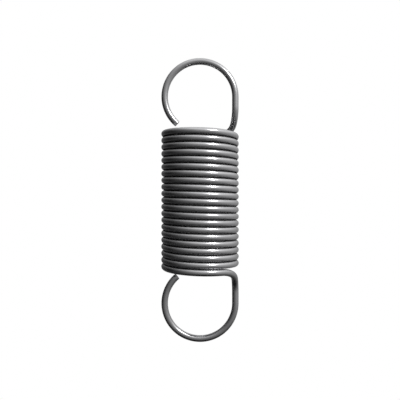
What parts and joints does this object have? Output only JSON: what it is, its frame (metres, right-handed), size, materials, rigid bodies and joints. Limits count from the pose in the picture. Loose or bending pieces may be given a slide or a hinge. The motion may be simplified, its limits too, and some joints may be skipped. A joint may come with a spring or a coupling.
{
  "type": "extension spring",
  "caption": "Close-wound extension spring of round steel wire with an open hook at each end, for pulling parts together.",
  "frame": {"origin": "middle of the spring, on the axis of its coil", "axes": "+Z along the coil's axis, towards the upper hook; both hooks lie in the XZ plane, with their legs on the +X side; +Y towards the back"},
  "size_m": [0.0237, 0.0236, 0.087],
  "materials": {
    "spring_steel": "bright drawn wire, smooth with fine lines along the wire"
  },
  "bodies": {
    "root": {"spring_wire": "spring_steel"}
  },
  "joints": []
}
